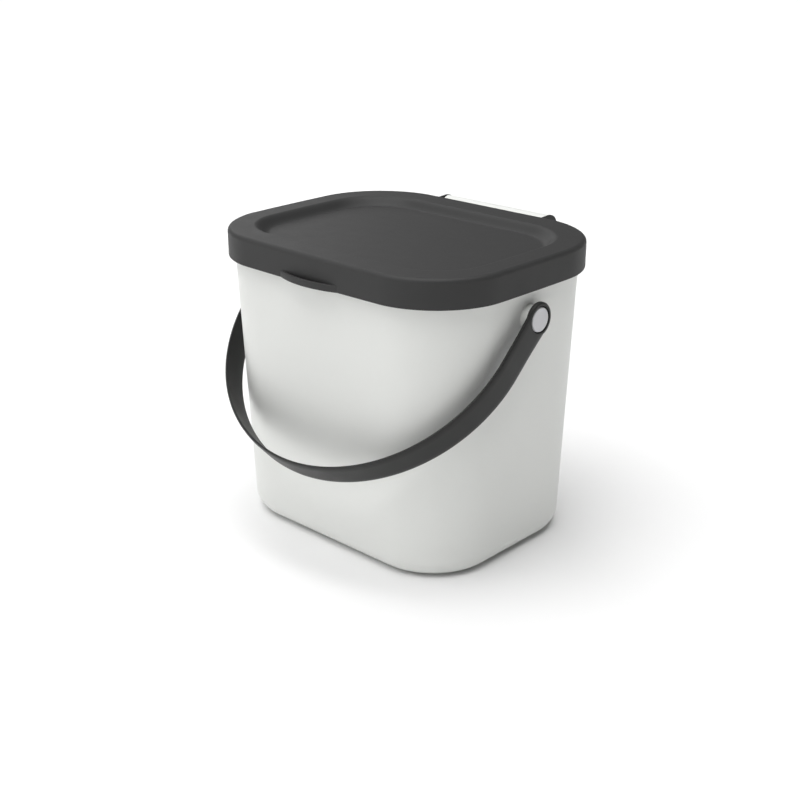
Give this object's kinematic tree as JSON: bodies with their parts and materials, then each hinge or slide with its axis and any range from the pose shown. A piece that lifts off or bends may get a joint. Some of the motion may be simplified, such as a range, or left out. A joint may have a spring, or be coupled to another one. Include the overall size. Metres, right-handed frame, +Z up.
{
  "type": "kitchen recycling bin",
  "caption": "Tapering kitchen recycling bin with a hinged, trayed lid and a swinging strap handle held by pivot plugs",
  "frame": {"origin": "centre of the flat underside of the bucket, on the floor it stands on", "axes": "+Z up; -Y is the front with the finger tab, +Y the back with the hinge; +X is the side on the right as seen from the front; the lid is closed and the handle hangs in front"},
  "size_m": [0.235, 0.2218, 0.208],
  "materials": {
    "bucket_plastic": "satin",
    "lid_plastic": "matt",
    "handle_plastic": "matt",
    "plug_plastic": "satin"
  },
  "bodies": {
    "bucket": {"bucket": "bucket_plastic", "pivot_plug_left": "plug_plastic", "pivot_plug_right": "plug_plastic"},
    "lid": {"lid": "lid_plastic"},
    "handle": {"handle": "handle_plastic"}
  },
  "joints": [
    {"name": "lid_hinge", "type": "hinge", "parent": "bucket", "child": "lid", "pos_m": [0, 0.097, 0.1998], "axis": [-1, 0, 0], "range_deg": [0, 105]},
    {"name": "handle_swing", "type": "hinge", "parent": "bucket", "child": "handle", "pos_m": [0, -0.0022, 0.1706], "axis": [-1, 0, 0], "range_deg": [-2.5, 265]}
  ]
}
